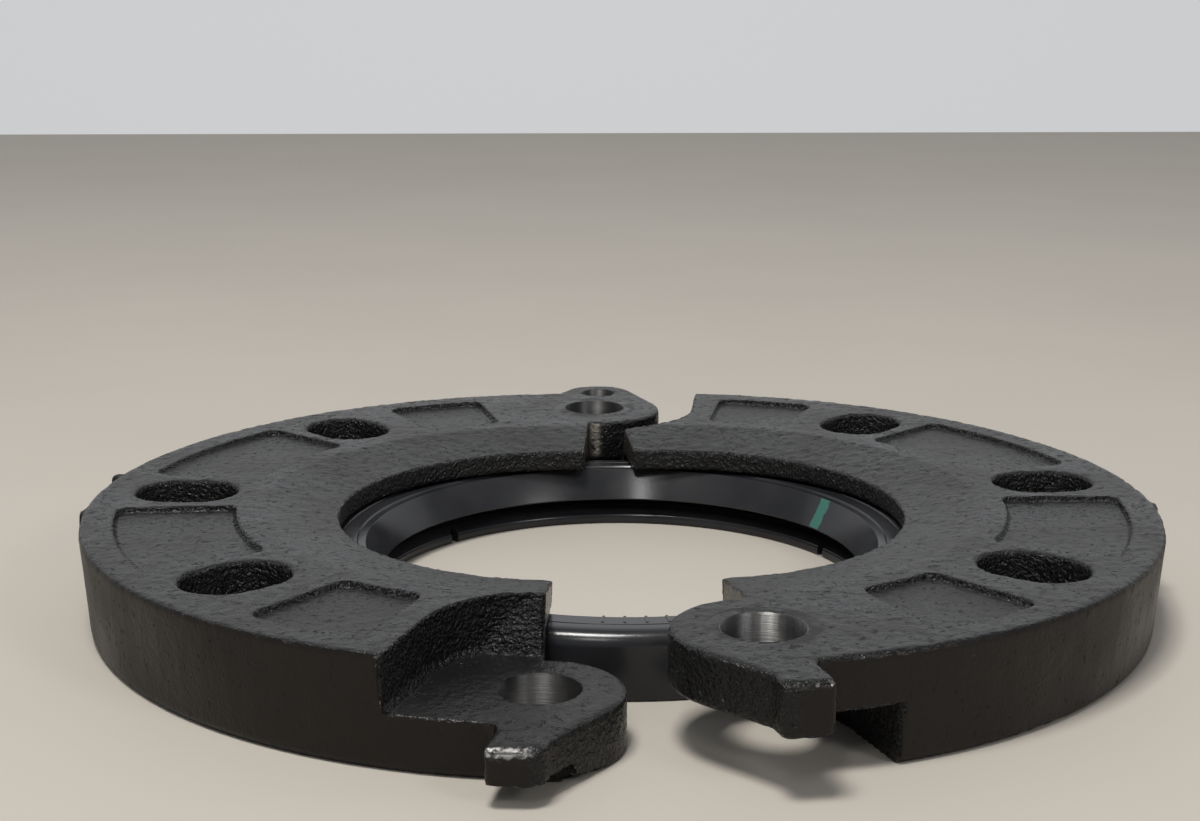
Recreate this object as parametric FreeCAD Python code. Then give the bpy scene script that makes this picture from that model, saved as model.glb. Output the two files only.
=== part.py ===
import FreeCAD, Part
import math
import os

os.makedirs("parts", exist_ok=True)

Vector = FreeCAD.Vector

# A hinged flange adapter for a 114.3 mm grooved steel pipe, in millimetres.
# It lies on its flange face and stands a little open, as it does before it is closed on a pipe.
# The origin is on the gasket's axis in the plane of the flange face.
# +Y points to the hinge and +Z points up, away from the mating flange.
# Each half is built closed, on the right of the Y axis, and is then mirrored or swung into place.

# The flange ring
pipe_groove_d = 110.1
key_clearance = 0.25
bolt_circle_r = 95.25
bolt_to_rim = 19.05
flange_thickness = 23.9
rim_draft = 1.5
rim_top_round = 1.2
rim_face_round = 2.0
split_gap = 1.0
dish_width = 18.2
dish_drop = 2.9
key_chamfer = 0.8

# The gasket and the recess it lies in; widths are measured inwards from the gasket's outside
gasket_past_key = 16.8
gasket_height = 15.0
gasket_width = 11.4
gasket_lip_width = 15.1
gasket_lip_z = 7.2
gasket_foot_width = 13.3
gasket_foot_height = 3.3
gasket_wall = 5.4
gasket_shoulder = 3.4
gasket_band_inset = 5.8
gasket_step_inset = 9.1
gasket_mark_depth = 0.35
gasket_foot_notch = 2.2
gasket_notch_angles = (27.0, 134.0)
recess_side_gap = 0.9
recess_top_gap = 0.3

# The lapped lugs at the two ends of each half
bolt_hole_d = 16.7
bolt_hole_chamfer = 0.6
lap_height = 12.0
lap_gap = 0.5
upper_lug_r = 18.5
lower_lug_r = 17.0
lug_top_round = 1.3
lug_under_round = 1.2
lug_face_round = 0.8
lug_step = 0.04
cavity_side_gap = 5.1
cavity_floor_round = 1.8
cavity_land_width = 15.9
cavity_wall_lean = 5.6
cavity_corner_round = 1.2
notch_side_gap = 2.4
notch_wall = 4.0
notch_corner_round = 3.0
notch_relief_width = 1.2
notch_relief_rise = 2.2

# The hinge at the far end
hinge_past_rim = 0.6
hinge_boss_r = 10.25
pin_d = 9.6
pin_clearance = 0.05
pin_recess = 3.4
pin_foot_gap = 0.8
pin_chamfer = 0.6
hinge_neck_round = 5.0

# The closing ears at the near end
ear_past_rim = 11.2
ear_past_split = 3.6
ear_root_taper = 1.7
ear_waist_set_back = 5.3
ear_waist_past_split = 4.2
ear_corner_round = 1.6
ear_root_round = 3.8
upper_ear_own_side = 7.0
lower_ear_own_side = 8.0
lower_ear_flank_round = 4.5
lower_ear_underside = 4.4
ear_web_length = 11.3
ear_web_rise = 1.7
ear_web_setback = 3.0

# The cast bolt slots, which take two bolt circles
slot_inset = 2.25
slot_width = 18.5
slot_length = 24.0
slot_rim_round = 0.8
slot_angles = (-45.0, 0.0, 45.0)

# The sunk fields on the upper face
field_land = 5.5
field_rim = 7.8
field_depth = 1.2
field_corner_round = 3.0
field_spans = ((8.6, 36.6), (57.0, 71.5))

# The small stubs that the mould leaves on the rim, as (angle, height of the middle, length)
stub_r = 2.6
stub_round = 0.6
right_stubs = ((-10.2, 20.4, 1.3),)
left_stubs = ((-7.9, 20.4, 1.2), (8.0, 20.8, 2.6))

# How far each half stands open at rest
open_deg = 5.9

# Sizes that follow from the ones above
key_bore_r = pipe_groove_d / 2 + key_clearance
flange_r = bolt_circle_r + bolt_to_rim
dish_r = key_bore_r + dish_width
field_inner_r = dish_r + field_land
field_outer_r = flange_r - field_rim
slot_circle_r = bolt_circle_r - slot_inset
gasket_r = key_bore_r + gasket_past_key
recess_r = gasket_r + recess_side_gap
recess_height = gasket_height + recess_top_gap
cavity_r = upper_lug_r + cavity_side_gap
cavity_land_r = key_bore_r + cavity_land_width
notch_r = lower_lug_r + notch_side_gap
notch_inner_r = recess_r + notch_wall
upper_lug_foot = lap_height + lap_gap
hinge_r = flange_r + hinge_past_rim
ear_reach = flange_r + ear_past_rim
hinge_hole_r = pin_d / 2 + pin_clearance
end_face_x = split_gap / 2
wall_tuck = 0.8
corner_reach = 0.1
margin = 20.0
outside_r = ear_reach + margin

bolt_centre = Vector(0, bolt_circle_r, 0)
hinge_centre = Vector(0, hinge_r, 0)


def line(start, end):
    return Part.LineSegment(start, end).toShape()


def arc(start, middle, end):
    return Part.Arc(start, middle, end).toShape()


def chain(points):
    return [line(a, b) for a, b in zip(points, points[1:])]


def prism(edges, low, high):
    face = Part.Face(Part.Wire(edges))
    face.translate(Vector(0, 0, low))
    return face.extrude(Vector(0, 0, high - low))


def turned(edges):
    face = Part.Face(Part.Wire(edges))
    return face.revolve(Vector(0, 0, 0), Vector(0, 0, 1), 360)


def upright_cylinder(radius, low, high, centre):
    return Part.makeCylinder(radius, high - low, Vector(centre.x, centre.y, low))


def from_split(angle, radius, aside=0.0):
    """A point at an angle from the split plane, moved aside square to that direction."""
    outward = Vector(math.sin(angle), math.cos(angle), 0)
    sideways = Vector(math.cos(angle), -math.sin(angle), 0)
    return outward * radius + sideways * aside


def tangent_point(centre, radius, outer_point):
    """Where a line from outer_point touches the circle, on the far side of the split."""
    reach = outer_point - centre
    half_angle = math.acos(radius / reach.Length)
    heading = math.atan2(reach.y, reach.x) + half_angle
    return centre + Vector(math.cos(heading), math.sin(heading), 0) * radius


def edges_at_height(shape, height):
    def level(edge):
        return all(abs(v.Z - height) < 1e-6 for v in edge.Vertexes)
    return [edge for edge in shape.Edges if level(edge)]


def upright_edges_near(shape, place, reach):
    """The upright edges whose middle is near a place in plan."""
    def fits(edge):
        ends = edge.Vertexes
        if len(ends) < 2 or abs(ends[0].Z - ends[1].Z) < 1:
            return False
        middle = (ends[0].Point + ends[1].Point) * 0.5
        return math.hypot(middle.x - place.x, middle.y - place.y) < reach
    return [edge for edge in shape.Edges if fits(edge)]


def rim_half():
    """A disc with the rim's section, turned about the pipe's axis and cut off at the split."""
    face_r = flange_r - rim_draft
    turn = math.sqrt(0.5)
    top = flange_thickness
    rim_middle_r = flange_r - rim_top_round * (1 - turn)
    face_middle_r = face_r - rim_face_round * (1 - turn)
    edges = chain([
        Vector(flange_r - rim_top_round, 0, top),
        Vector(0, 0, top),
        Vector(0, 0, 0),
        Vector(face_r - rim_face_round, 0, 0),
    ])
    edges.append(arc(
        Vector(face_r - rim_face_round, 0, 0),
        Vector(face_middle_r, 0, rim_face_round * (1 - turn)),
        Vector(face_r, 0, rim_face_round),
    ))
    edges.append(line(Vector(face_r, 0, rim_face_round), Vector(flange_r, 0, top - rim_top_round)))
    edges.append(arc(
        Vector(flange_r, 0, top - rim_top_round),
        Vector(rim_middle_r, 0, top - rim_top_round * (1 - turn)),
        Vector(flange_r - rim_top_round, 0, top),
    ))
    side = Part.makeBox(outside_r, 2 * outside_r, top, Vector(end_face_x, -outside_r, 0))
    return turned(edges).common(side)


def rim_radius(height):
    """The rim's radius at a height, a hair inside its drafted wall."""
    return flange_r - rim_draft * (1 - height / flange_thickness) - wall_tuck


def root_points(side, side_offset, root_r, rim_r):
    """Start, middle and end of the round between the rim and a flank, whose normal is side."""
    along = Vector(-side.y, side.x, 0)
    offset = side_offset + root_r
    heart_r = rim_r + root_r
    heart = side * offset + along * math.sqrt(heart_r ** 2 - offset ** 2)
    to_rim = heart * (-1 / heart_r)
    bisector = to_rim - side
    bisector.normalize()
    return heart + to_rim * root_r, heart + bisector * root_r, heart - side * root_r


def hinge_lug_plan(lug_r, rim_r):
    """A lug round the bolt hole, joined by straight flanks to the boss round the hinge pin."""
    lean = math.asin((lug_r - hinge_boss_r) / (hinge_r - bolt_circle_r))
    flank = Vector(math.cos(lean), math.sin(lean), 0)
    other_flank = Vector(-flank.x, flank.y, 0)
    lug_right = bolt_centre + flank * lug_r
    lug_left = bolt_centre + other_flank * lug_r
    boss_right = hinge_centre + flank * hinge_boss_r
    boss_left = hinge_centre + other_flank * hinge_boss_r
    root_start, root_middle, root_end = root_points(
        flank, flank.dot(bolt_centre) + lug_r, hinge_neck_round, rim_r)
    return [
        arc(lug_left, bolt_centre - Vector(0, lug_r, 0), lug_right),
        line(lug_right, root_start),
        arc(root_start, root_middle, root_end),
        line(root_end, boss_right),
        arc(boss_right, hinge_centre + Vector(0, hinge_boss_r, 0), boss_left),
        line(boss_left, lug_left),
    ]


def ear_flank(lug_r):
    """Where the straight flank of an ear leaves the lug's round, and where it meets the ear."""
    waist = Vector(-ear_waist_past_split, ear_reach - ear_waist_set_back, 0)
    return tangent_point(bolt_centre, lug_r, waist), waist


def ear_lug_plan(lug_r, own_side_x, rim_r):
    """A lug round the bolt hole, with a straight flank that runs out to the closing ear."""
    flank_start, waist = ear_flank(lug_r)
    own_side = bolt_centre + Vector(lug_r, 0, 0)
    tip = Vector(own_side_x, ear_reach, 0)
    root = Vector(own_side_x - ear_root_taper, rim_r, 0)
    side = Vector(tip.y - root.y, root.x - tip.x, 0)
    side.normalize()
    root_start, root_middle, root_end = root_points(side, side.dot(tip), ear_root_round, rim_r)
    edges = [arc(own_side, bolt_centre - Vector(0, lug_r, 0), flank_start)]
    edges += chain([
        flank_start,
        waist,
        Vector(-ear_past_split, ear_reach, 0),
        tip,
        root_end,
    ])
    edges.append(arc(root_end, root_middle, root_start))
    edges.append(line(root_start, own_side))
    return edges


def rounded_block(plan, low, high, under_round, ear_corners=()):
    """A lug block with its edges rounded, a hair short of the faces that the casting has on both sides."""
    low += lug_step
    high -= lug_step
    block = prism(plan, low, high)
    for corner_x, corner_round in ear_corners:
        corner = upright_edges_near(block, Vector(corner_x, ear_reach, 0), corner_reach)
        block = block.makeFillet(corner_round, corner)
    block = block.makeFillet(lug_top_round, edges_at_height(block, high))
    return block.makeFillet(under_round, edges_at_height(block, low))


def hinge_lug(lug_r, low, high, under_round):
    plan = hinge_lug_plan(lug_r, rim_radius(low))
    return rounded_block(plan, low, high, under_round)


def ear_lug(lug_r, own_side_x, flank_round, low, high, under_round):
    plan = ear_lug_plan(lug_r, own_side_x, rim_radius(low))
    ear_corners = ((-ear_past_split, flank_round), (own_side_x, ear_corner_round))
    return rounded_block(plan, low, high, under_round, ear_corners)


def room_under_ear():
    """What is missing under the lower ear, past the web that carries its flank on the round lug."""
    start, waist = ear_flank(lower_lug_r)
    along = waist - start
    along.normalize()
    inward = Vector(along.y, -along.x, 0)
    up = Vector(0, 0, 1)
    web_end = start + along * ear_web_length
    corners = [
        web_end - inward * margin,
        web_end + inward * margin * 2,
        web_end + inward * margin * 2 + along * margin,
        web_end - inward * margin + along * margin,
    ]
    room = prism(chain(corners + corners[:1]), -margin, lower_ear_underside)
    room = room.cut(upright_cylinder(lower_lug_r, -margin, lap_height, bolt_centre))
    room = room.cut(upright_cylinder(flange_r - rim_draft, -margin, lap_height, Vector(0, 0, 0)))
    wedge = chain([start, web_end + up * ear_web_rise, web_end - up, start - up, start])
    wedge = Part.Face(Part.Wire(wedge)).extrude(inward * (ear_web_setback * 2))
    wedge.translate(inward * -ear_web_setback)
    return room.fuse(wedge)


def lug_room(room_r, inner_r, lean, corner_round, low, high):
    """The space that the other half's lug swings out of, open at the split and at the rim."""
    wall_angle = math.asin(room_r / bolt_circle_r)
    wall_start = from_split(wall_angle, bolt_circle_r * math.cos(wall_angle))
    corner_heart_r = flange_r - corner_round
    corner_start = from_split(wall_angle, corner_heart_r)
    heart = from_split(wall_angle, corner_heart_r, corner_round)
    turn = corner_round * math.sqrt(0.5)
    corner_middle = heart + from_split(wall_angle, turn, -turn)
    corner_end = from_split(wall_angle, flange_r, corner_round)
    inner_end = bolt_centre - Vector(0, room_r, 0)
    half_way = (math.pi + math.pi / 2 + wall_angle) / 2
    wall_turn = bolt_centre + from_split(half_way, room_r)
    edges = [
        arc(inner_end, wall_turn, wall_start),
        line(wall_start, corner_start),
        arc(corner_start, corner_middle, corner_end),
    ]
    edges += chain([
        corner_end,
        from_split(wall_angle, outside_r, corner_round),
        Vector(-margin, outside_r, 0),
        Vector(-margin, inner_end.y, 0),
        inner_end,
    ])
    room = prism(edges, low, high)
    depth = high - low
    if lean > 0:
        kept = Part.makeCone(inner_r + lean, inner_r, depth, Vector(0, 0, low))
    else:
        kept = Part.makeCylinder(inner_r, depth, Vector(0, 0, low))
    return room.cut(kept)


def upper_lug_cavity():
    """The room above a lower lug, with a round along the foot of its wall."""
    top = flange_thickness + margin
    deep = lug_room(
        cavity_r, cavity_land_r, cavity_wall_lean, cavity_corner_round, lap_height, flange_thickness)
    above = lug_room(cavity_r, cavity_land_r, 0, cavity_corner_round, flange_thickness, top)

    def by_wall(edge):
        middle = edge.valueAt((edge.FirstParameter + edge.LastParameter) / 2)
        inside_rim = math.hypot(middle.x, middle.y) < flange_r
        return inside_rim and middle.x > 0
    foot = [edge for edge in edges_at_height(deep, lap_height) if by_wall(edge)]
    foot = [edge for edge in foot if edge.Length > cavity_floor_round]
    return deep.makeFillet(cavity_floor_round, foot).fuse(above)


def lower_lug_notch():
    """The room under an upper lug, whose roof rises towards the outer corner of its wall."""
    room = lug_room(notch_r, notch_inner_r, 0, notch_corner_round, -margin, upper_lug_foot)
    roof = upper_lug_foot + notch_relief_rise
    raised_room = lug_room(notch_r, notch_inner_r, 0, notch_corner_round, lap_height, roof)
    wall_angle = math.asin(notch_r / bolt_circle_r)
    inner = bolt_circle_r * math.cos(wall_angle)

    def section_point(aside, height):
        return from_split(wall_angle, inner, aside) + Vector(0, 0, height)
    profile = chain([
        section_point(-notch_relief_width, upper_lug_foot),
        section_point(notch_corner_round, roof),
        section_point(notch_corner_round, lap_height),
        section_point(-notch_relief_width, lap_height),
        section_point(-notch_relief_width, upper_lug_foot),
    ])
    ramp = Part.Face(Part.Wire(profile)).extrude(from_split(wall_angle, outside_r))
    return room.fuse(raised_room.common(ramp))


def slot_cutter(angle):
    """One cast slot, drawn along +X and turned to its place, with its rim eased."""
    straight = (slot_length - slot_width) / 2
    radius = slot_width / 2

    def outline(grow):
        r = radius + grow
        inner = slot_circle_r - straight
        outer = slot_circle_r + straight
        return [
            line(Vector(inner, -r, 0), Vector(outer, -r, 0)),
            arc(Vector(outer, -r, 0), Vector(outer + r, 0, 0), Vector(outer, r, 0)),
            line(Vector(outer, r, 0), Vector(inner, r, 0)),
            arc(Vector(inner, r, 0), Vector(inner - r, 0, 0), Vector(inner, -r, 0)),
        ]
    cutter = prism(outline(0), -margin, flange_thickness + margin)
    rim_low = Part.Wire(outline(0))
    rim_low.translate(Vector(0, 0, flange_thickness - slot_rim_round))
    rim_high = Part.Wire(outline(slot_rim_round))
    rim_high.translate(Vector(0, 0, flange_thickness))
    rim = Part.makeLoft([rim_low, rim_high], True, True)
    cutter = cutter.fuse(rim)
    cutter.rotate(Vector(0, 0, 0), Vector(0, 0, 1), angle)
    return cutter


def field_cutter(start_deg, end_deg):
    """A shallow sunk field between two angles, measured from +X."""
    start = math.radians(start_deg)
    end = math.radians(end_deg)
    middle = (start + end) / 2

    def at(angle, radius):
        return Vector(math.cos(angle) * radius, math.sin(angle) * radius, 0)
    edges = [
        line(at(start, field_inner_r), at(start, field_outer_r)),
        arc(at(start, field_outer_r), at(middle, field_outer_r), at(end, field_outer_r)),
        line(at(end, field_outer_r), at(end, field_inner_r)),
        arc(at(end, field_inner_r), at(middle, field_inner_r), at(start, field_inner_r)),
    ]
    block = prism(edges, flange_thickness - field_depth, flange_thickness + margin)
    corners = [edge for edge in block.Edges if abs(edge.tangentAt(edge.FirstParameter).z) > 0.99]
    return block.makeFillet(field_corner_round, corners)


def bolt_hole_countersink():
    """The eased mouth of the bolt hole in the upper lug beside the closing ear."""
    low = Vector(0, -bolt_circle_r, flange_thickness - bolt_hole_chamfer)
    hole_r = bolt_hole_d / 2
    return Part.makeCone(hole_r, hole_r + bolt_hole_chamfer * 2, bolt_hole_chamfer * 2, low)


def rim_stub(angle, height, length):
    """A stub left on the rim where the mould was vented, rooted well inside the rim."""
    root = flange_r - rim_draft - length
    stub = Part.makeCylinder(stub_r, flange_r + length - root, Vector(root, 0, height), Vector(1, 0, 0))
    tip = [edge for edge in stub.Edges if edge.Vertexes[0].X > flange_r and len(edge.Vertexes) == 1]
    stub = stub.makeFillet(stub_round, tip)
    stub.rotate(Vector(0, 0, 0), Vector(0, 0, 1), angle)
    return stub


def far_to_near(shape):
    return shape.mirror(Vector(0, 0, 0), Vector(0, 1, 0))


def pipe_room():
    """The bore, the dish round it and the gasket's recess, which no lug may reach into."""
    top = flange_thickness
    key_top = top - dish_drop
    return turned(chain([
        Vector(0, 0, -margin),
        Vector(recess_r, 0, -margin),
        Vector(recess_r, 0, recess_height),
        Vector(key_bore_r + key_chamfer, 0, recess_height),
        Vector(key_bore_r, 0, recess_height + key_chamfer),
        Vector(key_bore_r, 0, key_top),
        Vector(dish_r, 0, top),
        Vector(dish_r, 0, top + margin),
        Vector(0, 0, top + margin),
        Vector(0, 0, -margin),
    ]))


def cast_half(upper_end_is_far, stubs):
    """One half on the right of the split, with an upper lug at one end and a lower one at the other."""
    notch = lower_lug_notch()
    cavity = upper_lug_cavity()
    if upper_end_is_far:
        upper_lug = hinge_lug(upper_lug_r, upper_lug_foot, flange_thickness, lug_under_round)
        lower_lug = ear_lug(
            lower_lug_r, lower_ear_own_side, lower_ear_flank_round, 0, lap_height, lug_face_round)
        lower_lug = far_to_near(lower_lug.cut(room_under_ear()))
        cavity = far_to_near(cavity)
    else:
        upper_lug = far_to_near(ear_lug(
            upper_lug_r, upper_ear_own_side, ear_corner_round,
            upper_lug_foot, flange_thickness, lug_under_round))
        lower_lug = hinge_lug(lower_lug_r, 0, lap_height, lug_face_round)
        notch = far_to_near(notch)

    body = rim_half().cut(notch).cut(cavity)
    body = body.fuse(upper_lug).fuse(lower_lug).removeSplitter()
    body = body.cut(pipe_room())

    for angle, height, length in stubs:
        body = body.fuse(rim_stub(angle, height, length))

    for angle in slot_angles:
        body = body.cut(slot_cutter(angle))
    for start, end in field_spans:
        body = body.cut(field_cutter(start, end))
        body = body.cut(field_cutter(-end, -start))

    for side in (1, -1):
        centre = Vector(0, side * bolt_circle_r, 0)
        body = body.cut(upright_cylinder(bolt_hole_d / 2, -margin, flange_thickness + margin, centre))
    if not upper_end_is_far:
        body = body.cut(bolt_hole_countersink())
    hinge_hole = upright_cylinder(hinge_hole_r, -margin, flange_thickness + margin, hinge_centre)
    body = body.cut(hinge_hole)
    return body


def gasket():
    """The moulded ring: a tapered inner band over an undercut, and a foot on the flange face."""
    top = gasket_height
    step_top = top - gasket_mark_depth
    inner_r = gasket_r - gasket_width
    lip_r = gasket_r - gasket_lip_width
    foot_r = gasket_r - gasket_foot_width
    groove_r = gasket_r - gasket_wall
    band_r = gasket_r - gasket_band_inset
    step_r = gasket_r - gasket_step_inset
    groove_half = (gasket_lip_z - gasket_foot_height) / 2
    groove_middle_z = gasket_foot_height + groove_half
    groove_mouth_r = groove_r - groove_half
    foot_half = gasket_foot_height / 2
    shoulder_turn = gasket_shoulder * (1 - math.sqrt(0.5))
    mark_r = band_r + gasket_mark_depth
    edges = chain([
        Vector(gasket_r - gasket_shoulder, 0, top),
        Vector(mark_r + gasket_mark_depth, 0, top),
        Vector(mark_r, 0, step_top),
        Vector(band_r, 0, top),
        Vector(step_r, 0, top),
        Vector(step_r - gasket_mark_depth, 0, step_top),
        Vector(inner_r + gasket_mark_depth, 0, step_top),
        Vector(inner_r, 0, step_top - gasket_mark_depth),
        Vector(lip_r, 0, gasket_lip_z + gasket_mark_depth),
        Vector(lip_r + gasket_mark_depth, 0, gasket_lip_z),
        Vector(groove_mouth_r, 0, gasket_lip_z),
    ])
    edges.append(arc(
        Vector(groove_mouth_r, 0, gasket_lip_z),
        Vector(groove_r, 0, groove_middle_z),
        Vector(groove_mouth_r, 0, gasket_foot_height),
    ))
    edges.append(line(
        Vector(groove_mouth_r, 0, gasket_foot_height),
        Vector(foot_r + foot_half, 0, gasket_foot_height),
    ))
    edges.append(arc(
        Vector(foot_r + foot_half, 0, gasket_foot_height),
        Vector(foot_r, 0, foot_half),
        Vector(foot_r + foot_half, 0, 0),
    ))
    edges += chain([
        Vector(foot_r + foot_half, 0, 0),
        Vector(gasket_r - foot_half, 0, 0),
        Vector(gasket_r, 0, foot_half),
        Vector(gasket_r, 0, top - gasket_shoulder),
    ])
    edges.append(arc(
        Vector(gasket_r, 0, top - gasket_shoulder),
        Vector(gasket_r - shoulder_turn, 0, top - shoulder_turn),
        Vector(gasket_r - gasket_shoulder, 0, top),
    ))
    ring = turned(edges)
    notch_reach = groove_half + foot_half
    for angle in gasket_notch_angles:
        notch = Part.makeBox(
            notch_reach * 2,
            gasket_foot_notch,
            gasket_foot_height + margin,
            Vector(foot_r - notch_reach, -gasket_foot_notch / 2, -margin),
        )
        notch.rotate(Vector(0, 0, 0), Vector(0, 0, 1), angle)
        ring = ring.cut(notch)
    return ring


def hinge_pin():
    """The plain pin, sunk below the upper lug's face and just short of the flange face."""
    top = flange_thickness - pin_recess
    pin = upright_cylinder(pin_d / 2, pin_foot_gap, top, hinge_centre)
    rims = edges_at_height(pin, top) + edges_at_height(pin, pin_foot_gap)
    return pin.makeChamfer(pin_chamfer, rims)


def swung_open(half, degrees):
    placed = half.copy()
    placed.rotate(hinge_centre, Vector(0, 0, 1), degrees)
    return placed


right_half = swung_open(cast_half(False, right_stubs), open_deg)
left_closed = cast_half(True, left_stubs).mirror(Vector(0, 0, 0), Vector(1, 0, 0))
left_half = swung_open(left_closed, -open_deg)

pieces = {
    "flange_half_left": left_half,
    "flange_half_right": right_half,
    "gasket": gasket(),
    "hinge_pin": hinge_pin(),
}
for name, shape in pieces.items():
    solid = shape.Solids[0]
    print(name, "solids", len(shape.Solids), "valid", solid.isValid(), "volume", round(solid.Volume))
    solid.exportStep("parts/" + name + ".step")
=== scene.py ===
import math

import bmesh
import bpy
import numpy as np
from mathutils import Matrix, Vector, noise


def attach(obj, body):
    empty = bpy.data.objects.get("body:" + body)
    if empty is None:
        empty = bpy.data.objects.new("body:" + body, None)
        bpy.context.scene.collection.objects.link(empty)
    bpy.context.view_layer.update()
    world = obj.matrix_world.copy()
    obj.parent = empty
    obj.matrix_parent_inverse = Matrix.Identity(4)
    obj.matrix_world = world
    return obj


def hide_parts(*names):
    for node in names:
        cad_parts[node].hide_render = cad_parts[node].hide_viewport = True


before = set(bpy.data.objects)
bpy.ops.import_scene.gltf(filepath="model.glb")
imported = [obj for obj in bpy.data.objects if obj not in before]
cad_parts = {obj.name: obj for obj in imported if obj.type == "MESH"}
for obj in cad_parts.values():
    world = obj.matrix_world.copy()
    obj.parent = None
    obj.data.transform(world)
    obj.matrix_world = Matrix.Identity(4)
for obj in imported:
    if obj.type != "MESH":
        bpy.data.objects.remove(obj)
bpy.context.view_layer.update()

# The two cast halves.
# Each is half a flange ring with a lug at both ends, sand cast in ductile iron and dipped in black paint.
# The lugs lap over each other and are held by the hinge pin at the back and by flange bolts all round.
MM = 0.001
ring_top = 23.9
hinge_y = 114.9
stands_open = math.radians(5.9)
bolt_circle = 95.25
bolt_bore = 8.35
hinge_bore = 4.85
slot_circle = 93.0
slot_half_width = 9.25
slot_half_straight = 2.75
key_bore = 55.3
key_low, key_high = 15.0, 21.0
shoulder_foot = 76.0
field_start = 78.0
field_end = 107.5
field_floor = 22.3
rim_start = 111.5
lap_height = 12.0
notch_roof = 15.2
room_edge_deg = 14.6
room_inside = 71.0
notch_edge_deg = 12.9
ear_reach = 125.5
ear_half_width = 15.0
low_ear_round, high_ear_round = 3.6, 2.4
rubbed_ring_r = 11.2
ground_start, ground_end = 71.0, 81.0
grain_size = 0.76


def pattern_of(node):
    """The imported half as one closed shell, its doubled corners merged."""
    shell = bmesh.new()
    shell.from_mesh(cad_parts[node].data)
    bmesh.ops.remove_doubles(shell, verts=shell.verts, dist=1e-6)
    mesh = bpy.data.meshes.new(node + "_pattern")
    shell.to_mesh(mesh)
    shell.free()
    pattern = bpy.data.objects.new(node + "_pattern", mesh)
    bpy.context.scene.collection.objects.link(pattern)
    return pattern


def settled(piece):
    """The piece's mesh with its modifiers made final."""
    bpy.context.view_layer.update()
    shape = piece.evaluated_get(bpy.context.evaluated_depsgraph_get())
    mesh = bpy.data.meshes.new_from_object(shape)
    piece.modifiers.clear()
    piece.data = mesh
    return piece


def closed_place(points, turned_by, mirrored, about=(0, hinge_y)):
    """Where points or directions lie on the right half with the ring closed."""
    c, s = math.cos(turned_by), math.sin(turned_by)
    x, y = points[:, 0] - about[0], points[:, 1] - about[1]
    closed = np.stack([c * x + s * y + about[0], c * y - s * x + about[1], points[:, 2]], 1)
    return closed * (-1, 1, 1) if mirrored else closed


def open_place(closed, turned_by, mirrored):
    """The way back from closed_place."""
    return closed_place(closed * (-1, 1, 1) if mirrored else closed, -turned_by, False)


def slot_distance(place):
    """How far each point is from the nearest cast slot's middle line."""
    nearest = np.full(len(place), 1e3)
    for angle in (-45, 0, 45):
        c, s = math.cos(math.radians(angle)), math.sin(math.radians(angle))
        along = c * place[:, 0] + s * place[:, 1] - slot_circle
        across = c * place[:, 1] - s * place[:, 0]
        past = np.maximum(np.abs(along) - slot_half_straight, 0)
        nearest = np.minimum(nearest, np.hypot(past, across))
    return nearest


def ease(value, low, high):
    """0 below low, 1 above high and smooth between."""
    t = np.clip((value - low) / (high - low), 0, 1)
    return t * t * (3 - 2 * t)


def cast_zones(place, normals, low_lug_end):
    """The skin left rough by sand cores, the fields' walls, the flat tops and the outer wall, each 0 to 1."""
    r = np.hypot(place[:, 0], place[:, 1])
    z = place[:, 2]
    up = normals[:, 2]
    steep = 1 - ease(np.abs(up), 0.45, 0.8)
    by_low_lug = ease(place[:, 1] * low_lug_end, 0, 1)
    off_split = np.degrees(np.arctan2(place[:, 0], np.abs(place[:, 1])))
    own_side = ease(place[:, 0], 0.6, 1.5)
    facing_out = (normals[:, 0] * place[:, 0] + normals[:, 1] * place[:, 1]) / r
    behind_rim = 1 - ease(facing_out, 0.7, 0.85) * ease(r, rim_start, rim_start + 1)
    slots = 1 - ease(slot_distance(place), slot_half_width + 0.25, slot_half_width + 0.65)
    slots *= 1 - ease(z, ring_top - 0.6, ring_top - 0.1)
    bore = 1 - ease(r, key_bore + 0.4, key_bore + 1.2)
    bore *= ease(z, key_low - 0.5, key_low + 0.5) * (1 - ease(z, key_high - 0.4, key_high + 0.4))
    room = by_low_lug * own_side * (1 - ease(off_split, room_edge_deg - 0.2, room_edge_deg + 0.2))
    room *= ease(z, lap_height + 0.05, lap_height + 0.3) * (1 - ease(up, 0.9, 0.98))
    room *= ease(r, room_inside - 0.5, room_inside + 0.5)
    notch = (1 - by_low_lug) * own_side * (1 - ease(off_split, notch_edge_deg, notch_edge_deg + 0.3))
    notch *= (1 - ease(z, notch_roof - 0.6, notch_roof)) * ease(r, shoulder_foot, shoulder_foot + 1)
    notch *= ease(z, 0.8, 3.0)
    flank = steep * (1 - ease(place[:, 0], -0.5, 0.5)) * ease(r, shoulder_foot - 0.5, shoulder_foot + 0.5)
    field_walls = (1 - ease(up, 0.8, 0.95)) * ease(z, field_floor, field_floor + 0.3)
    field_walls *= ease(r, field_start - 0.5, field_start) * (1 - ease(r, field_end, field_end + 0.5))
    sand = np.clip(slots + bore + (room + notch) * behind_rim + 0.5 * flank, 0, 1)
    flat = ease(up, 0.8, 0.97) * (1 - sand)
    # The outer wall mask also carries a painted reflection and painted shade in the paint's colour.
    outer = steep * (1 - sand) * ease(r, rim_start - 0.5, rim_start + 1)
    return sand, field_walls * (1 - sand), flat, outer


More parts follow.
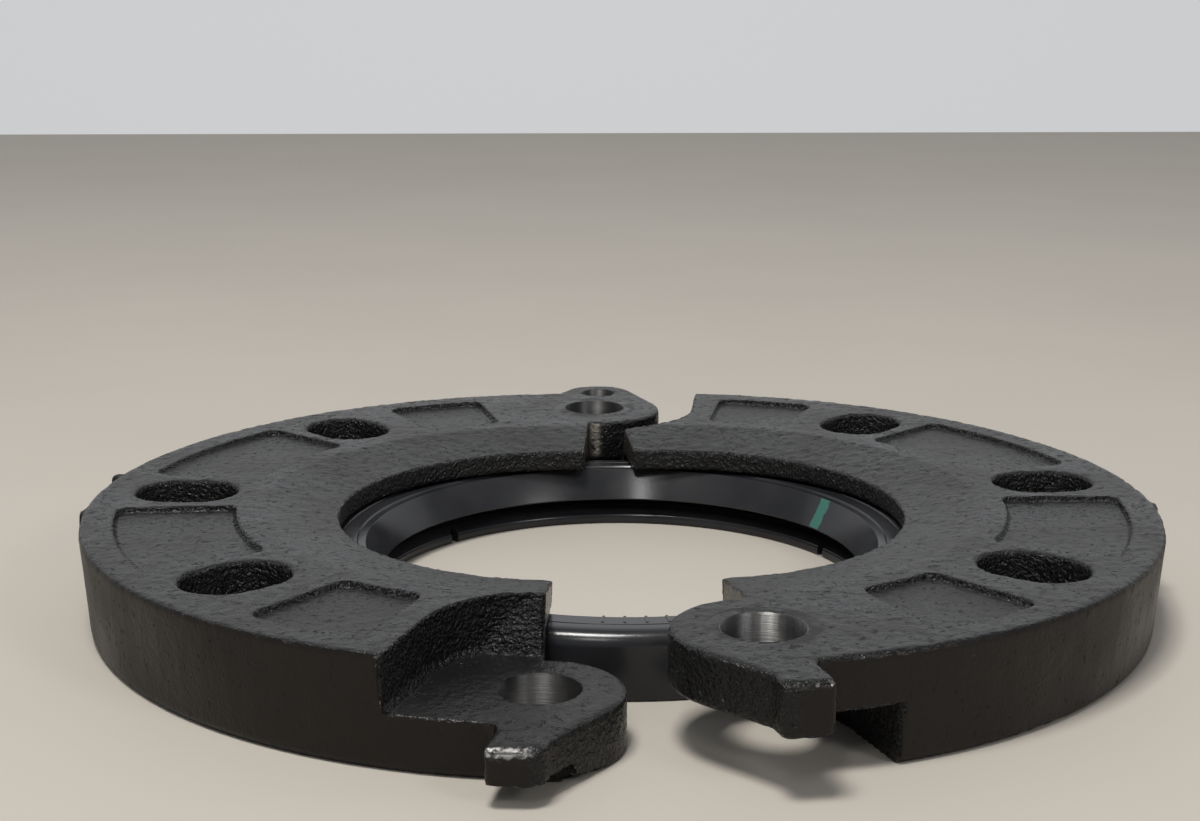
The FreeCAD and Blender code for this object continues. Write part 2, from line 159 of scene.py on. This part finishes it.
def convexity(mesh, points, normals):
    """How sharply the skin bends outwards at each point."""
    ends = np.empty(len(mesh.edges) * 2, np.int32)
    mesh.edges.foreach_get("vertices", ends)
    a, b = ends[::2], ends[1::2]
    along = points[b] - points[a]
    along /= np.maximum(np.linalg.norm(along, axis=1), 1e-9)[:, None]
    bend = np.zeros(len(points))
    count = np.zeros(len(points))
    np.add.at(bend, a, -(normals[a] * along).sum(1))
    np.add.at(bend, b, (normals[b] * along).sum(1))
    np.add.at(count, a, 1)
    np.add.at(count, b, 1)
    return bend / np.maximum(count, 1)


def skin_relief(spots, sand, flat, outer, edge, ear, calm):
    """Depth of the cast skin at each point, in millimetres, never above the pattern."""
    depth = np.empty(len(spots))
    for i, spot in enumerate(spots):
        p = Vector(spot)
        swell = noise.noise(p * 0.16)
        ripple = noise.fractal(p * 0.38, 0.6, 2.0, 3)
        crumb = abs(noise.noise(p * 0.95)) + 0.5 * abs(noise.noise(p * 1.9))
        pit = max(0.0, 1 - noise.voronoi(p * 0.17)[0][0] / 0.17)
        depth[i] = (
            flat[i] * calm[i] * (0.08 * swell + 0.12 * ripple - 0.32 * pit)
            + outer[i] * 0.03 * ripple
            + sand[i] * (0.16 - 0.42 * crumb)
            + edge[i] * 0.22 * (noise.noise(p * 0.7) - 0.35)
            - ear[i] * 0.30 * abs(noise.noise(p * 0.42))
        )
    return np.minimum(depth - 0.12 * calm, 0.0)


def softened(place, tip_z, radius):
    """Rounds the upper front edge of the ear more than the pattern does, as its paint and wear have."""
    from_heart = np.stack([place[:, 1] + ear_reach - radius, place[:, 2] - tip_z + radius], 1)
    reach = np.linalg.norm(from_heart, axis=1)
    corner = (from_heart[:, 0] < 0) & (from_heart[:, 1] > 0)
    corner &= (reach > 0.9 * radius) & (place[:, 2] <= tip_z + 0.5)
    drawn_in = np.where(corner, np.minimum(radius / np.maximum(reach, 1e-6), 1.0), 1.0)
    rise = np.clip(from_heart[:, 1] / np.maximum(reach, 1e-6), 0, 1)
    # The band made here peaks halfway round the rounding, where the overhead lamp's highlight falls; it marks
    # worn bare iron and a painted highlight.
    worn_and_highlit = corner * ease(4 * rise ** 2 * (1 - rise ** 2), 0.1, 0.9)
    place[:, 1] = from_heart[:, 0] * drawn_in - ear_reach + radius
    place[:, 2] = from_heart[:, 1] * drawn_in + tip_z - radius
    return place, worn_and_highlit


def ear_end(place):
    """The end of the near lug that stands out past the rim."""
    past_rim = ease(-place[:, 1], rim_start - 1.5, rim_start + 1.5)
    return past_rim * (1 - ease(np.abs(place[:, 0]), ear_half_width - 3, ear_half_width))


def worn_places(place, low_lug_end):
    """How much each stretch of edge is knocked: most at the ears and the room, none at the fields."""
    r = np.hypot(place[:, 0], place[:, 1])
    off_split = np.degrees(np.arctan2(place[:, 0], np.abs(place[:, 1])))
    by_low_lug = ease(place[:, 1] * low_lug_end, 0, 1)
    room = by_low_lug * ease(r, 105.0, 108.0)
    room *= 1 - ease(off_split, room_edge_deg + 0.6, room_edge_deg + 1.2)
    elsewhere = ease(r, rim_start - 3, rim_start - 1.5) + 1 - ease(r, shoulder_foot - 2, shoulder_foot)
    elsewhere = np.clip(elsewhere, 0, 1)
    return np.clip(ear_end(place) + room + 0.85 * elsewhere, 0, 1)


def cast_half(node, name, turned_by, mirrored, low_lug_end):
    """One half: the pattern's shape with a cast skin on it."""
    pattern = pattern_of(node)
    casting = bpy.data.objects.new(name, pattern.data.copy())
    bpy.context.scene.collection.objects.link(casting)
    skin = casting.modifiers.new("skin", "REMESH")
    skin.mode = "VOXEL"
    skin.voxel_size = grain_size * MM
    hug = casting.modifiers.new("hug", "SHRINKWRAP")
    hug.target = pattern
    settled(casting)
    bpy.data.objects.remove(pattern)

    mesh = casting.data
    points = np.empty(len(mesh.vertices) * 3)
    mesh.vertices.foreach_get("co", points)
    points = points.reshape(-1, 3) / MM
    normals = np.empty(len(mesh.vertices) * 3)
    mesh.vertices.foreach_get("normal", normals)
    normals = normals.reshape(-1, 3)

    place = closed_place(points, turned_by, mirrored)
    leaning = closed_place(normals, turned_by, mirrored, about=(0, 0))
    sand, field_walls, flat, outer = cast_zones(place, leaning, low_lug_end)
    edge = ease(convexity(mesh, points, normals), 0.06, 0.22) * worn_places(place, low_lug_end)
    split_face = ease(-leaning[:, 0], 0.85, 0.95) * (1 - ease(np.abs(place[:, 0] - 0.5), 0.15, 0.4))
    bore_reach = np.hypot(place[:, 0], np.abs(place[:, 1]) - bolt_circle)
    painted_ring = 1 - ease(bore_reach, rubbed_ring_r, rubbed_ring_r + 0.6)
    foot = 1 - ease(place[:, 2], 0.1, 0.6)
    calm = ease(bore_reach, bolt_bore + 0.25, bolt_bore + 1.05) * (1 - foot) * (1 - 0.75 * painted_ring)
    relief = skin_relief(place, sand, flat, outer, edge, ear_end(place), calm) * (1 - foot)
    low_ear = low_lug_end < 0
    tip_z, ear_round = (lap_height, low_ear_round) if low_ear else (ring_top, high_ear_round)
    place, ear_front = softened(place, tip_z, ear_round)
    # The rubbed band is bare iron shaped to the highlight on the ear's front edge, so it is wear and painted
    # highlight. On the low ear it fades out towards the split.
    rubbed_and_highlit = ear_front * (ease(place[:, 0], -2.6, 0.4) if low_ear else 0.6)

    # A patch on the high lug's inner flank beside the split was ground back to bare iron.
    by_high_lug = ease(-place[:, 1] * low_lug_end, 0, 1) * ease(place[:, 2], 13.0, 16.0)
    off_middle = np.abs(place[:, 1])
    by_high_lug *= ease(off_middle, ground_start - 1, ground_start + 1)
    ground = by_high_lug * ease(place[:, 0], -3.0, -2.2) * (1 - ease(place[:, 0], -1.0, 0.8))
    ground *= ease(-leaning[:, 1] * np.sign(place[:, 1]), 0.5, 0.8)
    ground *= 1 - ease(off_middle, ground_end - 1, ground_end + 1)
    place += leaning * relief[:, None]

    # The holes are drilled later, so the stock closes in on them here.
    for y, bore in ((bolt_circle, bolt_bore), (-bolt_circle, bolt_bore), (hinge_y, hinge_bore)):
        away = place[:, :2] - (0, y)
        reach = np.linalg.norm(away, axis=1)
        closed_in = 0.5 * (1 - ease(reach, bore + 0.2, bore + 1.3))
        place[:, :2] -= away * (closed_in / reach)[:, None]
    points = open_place(place, turned_by, mirrored) * MM
    mesh.vertices.foreach_set("co", points.ravel())

    for word, values in (
            ("sand", np.clip(sand + field_walls, 0, 1)),
            ("outer", outer),
            ("edge", edge),
            ("even", painted_ring * ease(place[:, 2], ring_top - 3.9, ring_top - 1.9)),
            ("thin", split_face),
            ("rubbed_and_highlit", rubbed_and_highlit),
            ("ground", ground)):
        layer = mesh.attributes.new(word, "FLOAT", "POINT")
        layer.data.foreach_set("value", values.astype(np.float32))
    mesh.update()
    return casting


def drill(casting, turned_by, eased_bore):
    """Cuts the bolt holes and the hinge hole cleanly through both lugs."""
    cutter_form = bmesh.new()
    for y, radius in ((bolt_circle, bolt_bore), (-bolt_circle, bolt_bore), (hinge_y, hinge_bore)):
        cut = bmesh.ops.create_cone(
            cutter_form, cap_ends=True, segments=96, radius1=radius * MM, radius2=radius * MM, depth=80 * MM)
        bmesh.ops.translate(cutter_form, verts=cut["verts"], vec=(0, y * MM, 0))
    if eased_bore:
        flare = 3.0
        mouth_depth = 0.85
        small_end = bolt_bore - 0.4
        cut = bmesh.ops.create_cone(
            cutter_form, cap_ends=True, segments=96, radius1=small_end * MM,
            radius2=(small_end + flare) * MM, depth=flare * MM)
        middle = ring_top - mouth_depth + flare / 2
        bmesh.ops.translate(cutter_form, verts=cut["verts"], vec=(0, -bolt_circle * MM, middle * MM))
    about = Vector((0, hinge_y * MM, 0))
    turn = Matrix.Rotation(turned_by, 3, "Z")
    bmesh.ops.rotate(cutter_form, verts=cutter_form.verts, cent=about, matrix=turn)
    form = bpy.data.meshes.new("drill")
    cutter_form.to_mesh(form)
    cutter_form.free()
    form.materials.append(machined_iron)
    cutter = bpy.data.objects.new("drill", form)
    bpy.context.scene.collection.objects.link(cutter)
    cut = casting.modifiers.new("drill", "BOOLEAN")
    cut.operation = "DIFFERENCE"
    cut.solver = "EXACT"
    cut.use_self = True
    cut.material_mode = "TRANSFER"
    cut.object = cutter
    settled(casting)
    bpy.data.objects.remove(cutter)

    form = bmesh.new()
    form.from_mesh(casting.data)
    for edge in form.edges:
        edge.smooth = len({face.material_index for face in edge.link_faces}) == 1
    for face in form.faces:
        face.smooth = True
    form.to_mesh(casting.data)
    form.free()


def new_material(name):
    material = bpy.data.materials.new(name)
    material.use_nodes = True
    tree = material.node_tree
    shader = tree.nodes["Principled BSDF"]
    spot = tree.nodes.new("ShaderNodeTexCoord").outputs["Object"]
    return material, tree, shader, spot


def grain_of(tree, spot, scale, detail=3.0, stretch=None):
    """Noise on the piece's own coordinates, with its scale in lumps per metre."""
    if stretch:
        mapping = tree.nodes.new("ShaderNodeMapping")
        mapping.inputs["Scale"].default_value = stretch
        tree.links.new(spot, mapping.inputs["Vector"])
        spot = mapping.outputs["Vector"]
    texture = tree.nodes.new("ShaderNodeTexNoise")
    texture.inputs["Scale"].default_value = scale
    texture.inputs["Detail"].default_value = detail
    tree.links.new(spot, texture.inputs["Vector"])
    return texture.outputs["Fac"]


def ramped(tree, value, low, high, to_low=0.0, to_high=1.0):
    """Value from low to high becomes to_low to to_high, smoothly and no further."""
    step = tree.nodes.new("ShaderNodeMapRange")
    step.interpolation_type = "SMOOTHSTEP"
    for socket, number in zip(("From Min", "From Max", "To Min", "To Max"), (low, high, to_low, to_high)):
        step.inputs[socket].default_value = number
    tree.links.new(value, step.inputs["Value"])
    return step.outputs["Result"]


def worked(tree, operation, first, second):
    """A sum, product or the like of two sockets or numbers."""
    step = tree.nodes.new("ShaderNodeMath")
    step.operation = operation
    for socket, value in zip(step.inputs, (first, second)):
        if isinstance(value, (int, float)):
            socket.default_value = value
        else:
            tree.links.new(value, socket)
    return step.outputs["Value"]


def blended(tree, share, first, second):
    """A colour between two, each a socket or three numbers."""
    mix = tree.nodes.new("ShaderNodeMix")
    mix.data_type = "RGBA"
    tree.links.new(share, mix.inputs["Factor"])
    for socket, colour in ((mix.inputs["A"], first), (mix.inputs["B"], second)):
        if isinstance(colour, tuple):
            socket.default_value = (*colour, 1.0)
        else:
            tree.links.new(colour, socket)
    return mix.outputs["Result"]


def raised(tree, height, depth_mm, under=None):
    """A bump of that depth, on top of another one."""
    bump = tree.nodes.new("ShaderNodeBump")
    bump.inputs["Strength"].default_value = 1.0
    bump.inputs["Distance"].default_value = depth_mm * MM
    tree.links.new(height, bump.inputs["Height"])
    if under:
        tree.links.new(under, bump.inputs["Normal"])
    return bump.outputs["Normal"]


def skin_value(tree, word):
    reader = tree.nodes.new("ShaderNodeAttribute")
    reader.attribute_name = word
    return reader.outputs["Fac"]


# The black dip paint, thick and glossy over the sand's grain and thin on the edges.
painted_iron, tree, shader, spot = new_material("black_paint_on_cast_iron")
sand = skin_value(tree, "sand")
outer = skin_value(tree, "outer")
edge = skin_value(tree, "edge")
flow = grain_of(tree, spot, 480.0, 6.0)
cast_grain = grain_of(tree, spot, 1900.0, 3.0)
coarse_sand = grain_of(tree, spot, 1150.0, 2.0)
film = grain_of(tree, spot, 40.0, 4.0)
pits = ramped(tree, grain_of(tree, spot, 620.0, 2.0), 0.61, 0.72)
black = blended(tree, ramped(tree, film, 0.35, 0.7), (0.007, 0.007, 0.0072), (0.012, 0.0117, 0.0112))
# The outer wall is made browner and darker than the rest: a painted reflection of a brown floor and painted
# shade on the sides.
black = blended(tree, outer, black, (0.0085, 0.0066, 0.005))
thin = worked(tree, "MULTIPLY", skin_value(tree, "thin"), ramped(tree, film, 0.40, 0.58, 0.45, 1.0))
black = blended(tree, worked(tree, "MULTIPLY", sand, 0.6), black, (0.0075, 0.0075, 0.0077))
black = blended(tree, thin, black, (0.075, 0.064, 0.054))
scratched = ramped(tree, grain_of(tree, spot, 220.0, 4.0), 0.38, 0.52)
ground = worked(tree, "MULTIPLY", skin_value(tree, "ground"), scratched)
black = blended(tree, ground, black, (0.165, 0.15, 0.13))
# Chips on knocked edges show bare iron. The rubbed band on the ears is bare iron too, but laid where the
# lamp's highlight falls, so it is also a painted highlight.
chips = worked(tree, "ADD", grain_of(tree, spot, 900.0, 3.0), worked(tree, "MULTIPLY", edge, 0.37))
rubbed_and_highlit = worked(tree, "MULTIPLY", skin_value(tree, "rubbed_and_highlit"), 0.40)
rubbed_and_highlit = ramped(tree, worked(tree, "ADD", grain_of(tree, spot, 700.0, 4.0), rubbed_and_highlit), 0.74, 0.95)
worn_and_highlit = worked(tree, "MAXIMUM", ramped(tree, chips, 0.90, 0.97), rubbed_and_highlit)
tree.links.new(blended(tree, worn_and_highlit, black, (0.20, 0.196, 0.19)), shader.inputs["Base Color"])
metal = worked(tree, "ADD", worked(tree, "MULTIPLY", worn_and_highlit, 0.9), worked(tree, "MULTIPLY", thin, 0.4))
tree.links.new(metal, shader.inputs["Metallic"])
gloss = ramped(tree, film, 0.3, 0.7, 0.19, 0.35)
gloss = worked(tree, "ADD", gloss, worked(tree, "MULTIPLY", outer, 0.16))
patchy = ramped(tree, grain_of(tree, spot, 130.0), 0.40, 0.56)
rubbed_ring = worked(tree, "MULTIPLY", skin_value(tree, "even"), patchy)
gloss = worked(tree, "ADD", gloss, worked(tree, "MULTIPLY", rubbed_ring, 0.24))
gloss = worked(tree, "ADD", gloss, worked(tree, "MULTIPLY", pits, 0.20))
gloss = worked(tree, "SUBTRACT", gloss, worked(tree, "MULTIPLY", sand, 0.03))
gloss = worked(tree, "SUBTRACT", gloss, worked(tree, "MULTIPLY", edge, 0.10))
gloss = worked(tree, "ADD", gloss, worked(tree, "MULTIPLY", rubbed_and_highlit, 0.14))
tree.links.new(gloss, shader.inputs["Roughness"])
shader.inputs["IOR"].default_value = 1.33
uneven = worked(tree, "SUBTRACT", 1.0, worked(tree, "MULTIPLY", skin_value(tree, "even"), 0.8))
uneven = worked(tree, "SUBTRACT", uneven, worked(tree, "MULTIPLY", outer, 0.82))
skin_height = worked(tree, "SUBTRACT", flow, worked(tree, "MULTIPLY", pits, 0.85))
lumps = raised(tree, worked(tree, "MULTIPLY", skin_height, uneven), 0.42)
grit = worked(tree, "ADD", sand, worked(tree, "MULTIPLY", outer, 0.08))
lumps = raised(tree, worked(tree, "MULTIPLY", coarse_sand, grit), 1.15, lumps)
lumps = raised(tree, worked(tree, "MULTIPLY", cast_grain, uneven), 0.16, lumps)
tree.links.new(lumps, shader.inputs["Normal"])

# The holes are drilled after casting and left bare, with fine rings from the drill.
machined_iron, tree, shader, spot = new_material("drilled_bare_iron")
rings = grain_of(tree, spot, 60.0, 3.0, stretch=(1.0, 1.0, 60.0))
stain = grain_of(tree, spot, 150.0, 3.0)
steel = blended(tree, ramped(tree, stain, 0.35, 0.7), (0.13, 0.13, 0.13), (0.21, 0.207, 0.202))
tree.links.new(steel, shader.inputs["Base Color"])
shader.inputs["Metallic"].default_value = 1.0
tree.links.new(ramped(tree, rings, 0.3, 0.7, 0.42, 0.54), shader.inputs["Roughness"])
tree.links.new(raised(tree, rings, 0.09), shader.inputs["Normal"])
shader.inputs["Anisotropic"].default_value = 0.9
upright = tree.nodes.new("ShaderNodeCombineXYZ")
upright.inputs["Z"].default_value = 1.0
tree.links.new(upright.outputs["Vector"], shader.inputs["Tangent"])

for node, name, body, turned_by, mirrored, low_lug_end in (
        ("flange_half_left", "left_casting", "left_half", -stands_open, True, -1),
        ("flange_half_right", "right_casting", "right_half", stands_open, False, 1)):
    casting = cast_half(node, name, turned_by, mirrored, low_lug_end)
    casting.data.materials.append(painted_iron)
    drill(casting, turned_by, not mirrored)
    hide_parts(node)
    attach(casting, body)

# The gasket.
# A ring moulded in black rubber, with a wide foot, a deep groove that fluid presses open and a tapered wall.
# It lies loose in the recess of the halves' flange face and has a stripe of green paint on its inner wall.

# The ring's section is drawn by radius and height, and the corners counted in gasket_rounds are then rounded.
gasket_profile = (
    (72.1, 0.0), (72.1, 15.0),
    (66.9, 15.0), (66.6, 14.6), (66.3, 15.0), (63.0, 15.0), (62.7, 14.65), (60.95, 14.65), (60.7, 14.3),
    (57.0, 7.55), (57.3, 7.2), (66.7, 7.2), (66.7, 4.4), (60.6, 3.3), (58.8, 2.3), (58.8, 0.0))
gasket_rounds = {
    1: (3.4, 8), 11: (1.8, 5), 12: (1.8, 5), 13: (1.6, 5), 14: (1.0, 4), 15: (0.8, 3), 0: (0.9, 3)}

form = bmesh.new()
corners = [form.verts.new((r * MM, 0, z * MM)) for r, z in gasket_profile]
form.faces.new(corners)
for corner, (size, steps) in gasket_rounds.items():
    bmesh.ops.bevel(
        form, geom=[corners[corner]], affect="VERTICES", offset=size * MM, segments=steps,
        profile=0.5, material=-1)
bmesh.ops.delete(form, geom=form.faces[:], context="FACES_ONLY")
bmesh.ops.spin(
    form, geom=form.edges[:], cent=(0, 0, 0), axis=(0, 0, 1), angle=math.tau, steps=256, use_merge=True,
    use_duplicate=False)
bmesh.ops.remove_doubles(form, verts=form.verts, dist=1e-6)
bmesh.ops.recalc_face_normals(form, faces=form.faces)
mesh = bpy.data.meshes.new("gasket_ring")
form.to_mesh(mesh)
form.free()
gasket = bpy.data.objects.new("gasket_ring", mesh)
bpy.context.scene.collection.objects.link(gasket)


def blocks_round(form, size, circle, middle_z, places_deg):
    """Like blocks on a circle, each turned to face the ring's middle."""
    for degrees in places_deg:
        block = bmesh.ops.create_cube(form, size=1.0)["verts"]
        bmesh.ops.scale(form, verts=block, vec=[side * MM for side in size])
        bmesh.ops.translate(form, verts=block, vec=(circle * MM, 0, middle_z * MM))
        turn = Matrix.Rotation(math.radians(degrees), 3, "Z")
        bmesh.ops.rotate(form, verts=block, cent=(0, 0, 0), matrix=turn)


# Two small notches are cut through the lip of its foot.
foot_inside = 58.8
notch_size = (5.8, 2.2, 6.6)
notch_places_deg = (27.0, 134.0)
form = bmesh.new()
blocks_round(form, notch_size, foot_inside, 0, notch_places_deg)
mesh = bpy.data.meshes.new("notches")
form.to_mesh(mesh)
form.free()
notches = bpy.data.objects.new("notches", mesh)
bpy.context.scene.collection.objects.link(notches)
cut = gasket.modifiers.new("notches", "BOOLEAN")
cut.operation = "DIFFERENCE"
cut.solver = "EXACT"
cut.object = notches
settled(gasket)
bpy.data.objects.remove(notches)

# A short row of small plain ribs moulded on its top band at the near side.
rib_size = (3.8, 0.6, 0.7)
rib_circle = 63.4
rib_middle_z = 14.78
rib_places_deg = (-97.0, -92.9, -88.8, -84.7, -80.6, -76.5)
form = bmesh.new()
form.from_mesh(gasket.data)
blocks_round(form, rib_size, rib_circle, rib_middle_z, rib_places_deg)
form.to_mesh(gasket.data)
form.free()
gasket.data.shade_smooth()
gasket.data.set_sharp_from_angle(angle=math.radians(35))

# The stripe runs down the tapered wall, brushed on by hand, so its sides waver.
stripe_at = math.radians(27.6)
stripe_half_width = 0.053
stripe_top_reach = 60.9
stripe_low_z = 7.7
moulded_rubber, tree, shader, spot = new_material("moulded_black_rubber")
parts = tree.nodes.new("ShaderNodeSeparateXYZ")
tree.links.new(spot, parts.inputs["Vector"])
heading = worked(tree, "ARCTAN2", parts.outputs["Y"], parts.outputs["X"])
x_squared = worked(tree, "POWER", parts.outputs["X"], 2.0)
y_squared = worked(tree, "POWER", parts.outputs["Y"], 2.0)
reach = worked(tree, "SQRT", worked(tree, "ADD", x_squared, y_squared), 0.0)
brush = worked(tree, "MULTIPLY", grain_of(tree, spot, 420.0, 4.0), 0.036)
off_stripe = worked(tree, "ABSOLUTE", worked(tree, "SUBTRACT", heading, stripe_at), 0.0)
off_stripe = worked(tree, "ADD", off_stripe, brush)
stripe = ramped(tree, off_stripe, stripe_half_width - 0.006, stripe_half_width, 1.0, 0.0)
stripe = worked(tree, "MULTIPLY", stripe, worked(tree, "LESS_THAN", reach, stripe_top_reach * MM))
above_foot = worked(tree, "GREATER_THAN", parts.outputs["Z"], stripe_low_z * MM)
stripe = worked(tree, "MULTIPLY", stripe, above_foot)
bloom = grain_of(tree, spot, 55.0, 4.0)
rubber = blended(tree, ramped(tree, bloom, 0.35, 0.7), (0.014, 0.0145, 0.0165), (0.022, 0.0225, 0.0245))
tree.links.new(blended(tree, stripe, rubber, (0.022, 0.115, 0.088)), shader.inputs["Base Color"])
tree.links.new(ramped(tree, bloom, 0.3, 0.7, 0.16, 0.25), shader.inputs["Roughness"])
shader.inputs["IOR"].default_value = 1.40
tree.links.new(raised(tree, grain_of(tree, spot, 1800.0, 2.0), 0.008), shader.inputs["Normal"])
gasket.data.materials.append(moulded_rubber)
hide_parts("gasket")
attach(gasket, "core")

# The hinge pin.
# A plain steel pin, chamfered at both ends and pressed lightly through the two lapped hinge lugs.
# It stays sunk below the upper lug's face, so only its end shows down the hole.
turned_steel, tree, shader, spot = new_material("turned_steel")
lathe = grain_of(tree, spot, 90.0, 3.0, stretch=(1.0, 1.0, 40.0))
bright = blended(tree, ramped(tree, lathe, 0.3, 0.7), (0.26, 0.25, 0.235), (0.38, 0.37, 0.35))
tree.links.new(bright, shader.inputs["Base Color"])
shader.inputs["Metallic"].default_value = 1.0
tree.links.new(ramped(tree, lathe, 0.3, 0.7, 0.28, 0.42), shader.inputs["Roughness"])
tree.links.new(raised(tree, lathe, 0.015), shader.inputs["Normal"])
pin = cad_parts["hinge_pin"]
pin.data.materials.clear()
pin.data.materials.append(turned_steel)

# The studio.
# A plain pale floor that ends in front of a white wall, which glows softly.
# One soft lamp hangs overhead, a little to the left, and two weaker ones stand behind the camera.
floor_half = 4.0
floor_end = 1.25
form = bmesh.new()
bmesh.ops.create_grid(form, x_segments=1, y_segments=1, size=floor_half)
bmesh.ops.translate(form, verts=form.verts, vec=(0, floor_end - floor_half, 0))
mesh = bpy.data.meshes.new("floor")
form.to_mesh(mesh)
form.free()
floor = bpy.data.objects.new("floor", mesh)
bpy.context.scene.collection.objects.link(floor)
pale, tree, shader, spot = new_material("pale_floor")
paper = grain_of(tree, spot, 9.0, 4.0)
tree.links.new(blended(tree, paper, (0.39, 0.36, 0.315), (0.43, 0.397, 0.35)), shader.inputs["Base Color"])
shader.inputs["Roughness"].default_value = 0.8
mesh.materials.append(pale)

wall_y = 2.6
wall_width = 14.6
wall_foot, wall_top = -0.4, 4.2
form = bmesh.new()
bmesh.ops.create_grid(form, x_segments=1, y_segments=1, size=0.5)
bmesh.ops.scale(form, verts=form.verts, vec=(wall_width, wall_top - wall_foot, 1.0))
bmesh.ops.rotate(form, verts=form.verts, cent=(0, 0, 0), matrix=Matrix.Rotation(math.pi / 2, 3, "X"))
bmesh.ops.translate(form, verts=form.verts, vec=(0, wall_y, (wall_top + wall_foot) / 2))
mesh = bpy.data.meshes.new("wall")
form.to_mesh(mesh)
form.free()
wall = bpy.data.objects.new("wall", mesh)
bpy.context.scene.collection.objects.link(wall)
white, tree, shader, spot = new_material("white_wall")
shader.inputs["Base Color"].default_value = (0.5, 0.5, 0.5, 1.0)
shader.inputs["Roughness"].default_value = 0.9
shader.inputs["Emission Color"].default_value = (0.96, 0.98, 1.0, 1.0)
parts = tree.nodes.new("ShaderNodeSeparateXYZ")
tree.links.new(spot, parts.inputs["Vector"])
tree.links.new(ramped(tree, parts.outputs["Z"], 0.54, 1.16, 0.43, 0.61), shader.inputs["Emission Strength"])
mesh.materials.append(white)


def soft_lamp(name, place, aim, size, watts, colour):
    lamp = bpy.data.lights.new(name, "AREA")
    lamp.shape = "RECTANGLE"
    lamp.size, lamp.size_y = size
    lamp.energy = watts
    lamp.color = colour
    holder = bpy.data.objects.new(name, lamp)
    holder.location = place
    holder.rotation_euler = (Vector(aim) - Vector(place)).to_track_quat("-Z", "Y").to_euler()
    bpy.context.scene.collection.objects.link(holder)


soft_lamp("overhead", (-0.20, -0.35, 1.25), (0, 0, 0), (0.34, 0.34), 16.0, (1.0, 0.98, 0.95))
soft_lamp("front", (-0.36, -1.35, 1.33), (0, 0, 0), (0.16, 0.45), 3.6, (1.0, 0.99, 0.97))
soft_lamp("side", (0.85, -0.95, 0.80), (0, 0, 0), (0.30, 0.30), 3.5, (1.0, 1.0, 1.0))
world = bpy.data.worlds.new("room")
world.use_nodes = True
sky = world.node_tree.nodes["Background"]
sky.inputs["Color"].default_value = (0.93, 0.95, 1.0, 1.0)
sky.inputs["Strength"].default_value = 0.28
bpy.context.scene.world = world

# The camera, at the place, height and lens that were measured from the photograph.
turned, down, tilt = 0.0509, 0.2276, 0.0022
ahead = Vector((math.sin(turned) * math.cos(down), math.cos(turned) * math.cos(down), -math.sin(down)))
level = Vector((math.cos(turned), -math.sin(turned), 0))
above = level.cross(ahead)
right = level * math.cos(tilt) + above * math.sin(tilt)
upward = above * math.cos(tilt) - level * math.sin(tilt)
lens = bpy.data.cameras.new("camera")
lens.sensor_width = 36.0
lens.lens = 59.1
lens.clip_start = 0.01
lens.clip_end = 20.0
stands_at = Vector((-0.028304, -0.452375, 0.149931))
camera = bpy.data.objects.new("camera", lens)
camera.matrix_world = Matrix((
    (right.x, upward.x, -ahead.x, stands_at.x),
    (right.y, upward.y, -ahead.y, stands_at.y),
    (right.z, upward.z, -ahead.z, stands_at.z),
    (0, 0, 0, 1)))
bpy.context.scene.collection.objects.link(camera)
bpy.context.scene.camera = camera
bpy.context.scene.view_settings.view_transform = "Standard"
